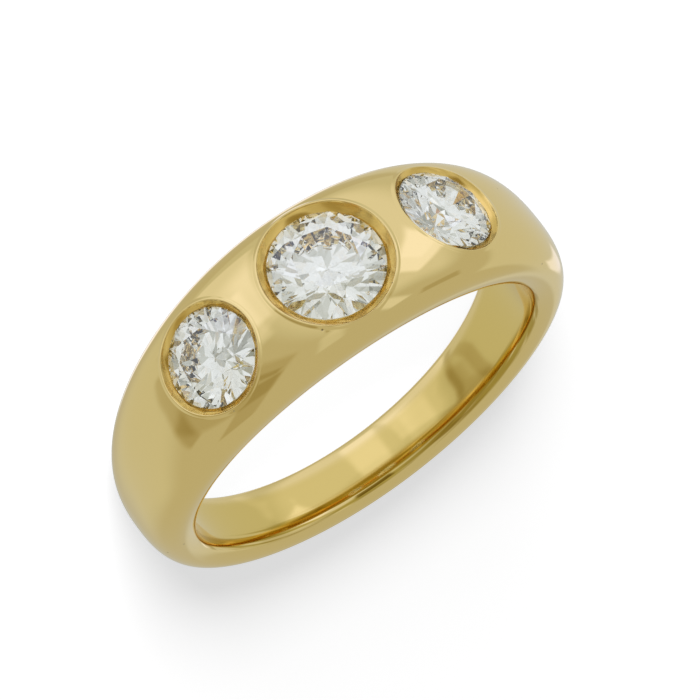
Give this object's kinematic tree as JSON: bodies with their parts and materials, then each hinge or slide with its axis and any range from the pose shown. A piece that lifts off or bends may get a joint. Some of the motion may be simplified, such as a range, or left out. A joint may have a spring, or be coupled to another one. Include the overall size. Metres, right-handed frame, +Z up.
{
  "type": "three stone ring",
  "caption": "Finger ring of polished yellow gold: a domed band that tapers to the back, with round brilliants sunk flush in its head.",
  "frame": {"origin": "under the middle of the ring's outline, on the surface that it lies on", "axes": "+Z up from that surface, close to the finger hole's axis; X along the row of stones; -Y towards the head"},
  "size_m": [0.0214, 0.022, 0.0069],
  "materials": {
    "polished_gold": "18 carat yellow gold, high polish with fine wear",
    "diamond": "colourless, polished facets"
  },
  "bodies": {
    "root": {"gold_band": "polished_gold", "centre_stone": "diamond", "side_stone_left": "diamond", "side_stone_right": "diamond"}
  },
  "joints": []
}
